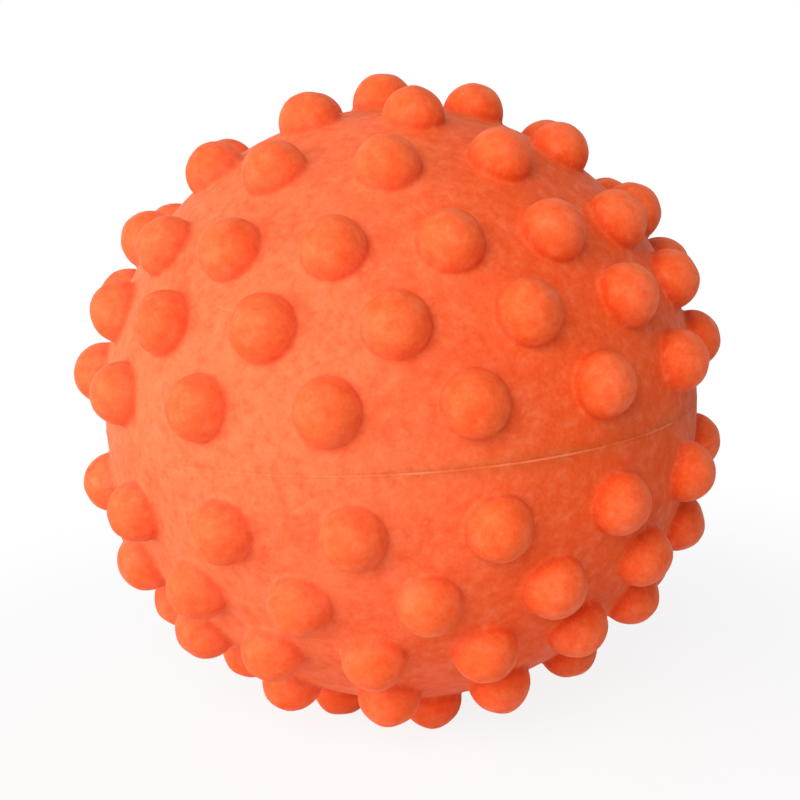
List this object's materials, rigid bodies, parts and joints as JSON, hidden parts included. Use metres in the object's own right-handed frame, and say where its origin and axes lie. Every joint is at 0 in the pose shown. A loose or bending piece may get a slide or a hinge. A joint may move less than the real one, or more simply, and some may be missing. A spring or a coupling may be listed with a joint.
{
  "type": "massage ball",
  "caption": "Hollow rubber massage ball covered in round knobs, made of two cemented half shells with a needle valve in the lower pole.",
  "frame": {"origin": "centre of the ball's round body, which is the centroid of its rubber to within 0.4 mm", "axes": "+Z through the poles, from the valve in the lower half to the knob on the upper pole; the seam lies in the XY plane"},
  "size_m": [0.087, 0.0867, 0.0868],
  "materials": {
    "shell_rubber": "matt moulded natural rubber",
    "seam_cement": "matt vulcanised rubber cement",
    "valve_rubber": "smooth moulded rubber",
    "valve_core_rubber": "soft smooth rubber"
  },
  "bodies": {
    "root": {"upper_half_shell": "shell_rubber", "lower_half_shell": "shell_rubber", "seam_cement_ring": "seam_cement", "valve_housing": "valve_rubber", "valve_core": "valve_core_rubber"}
  },
  "joints": []
}
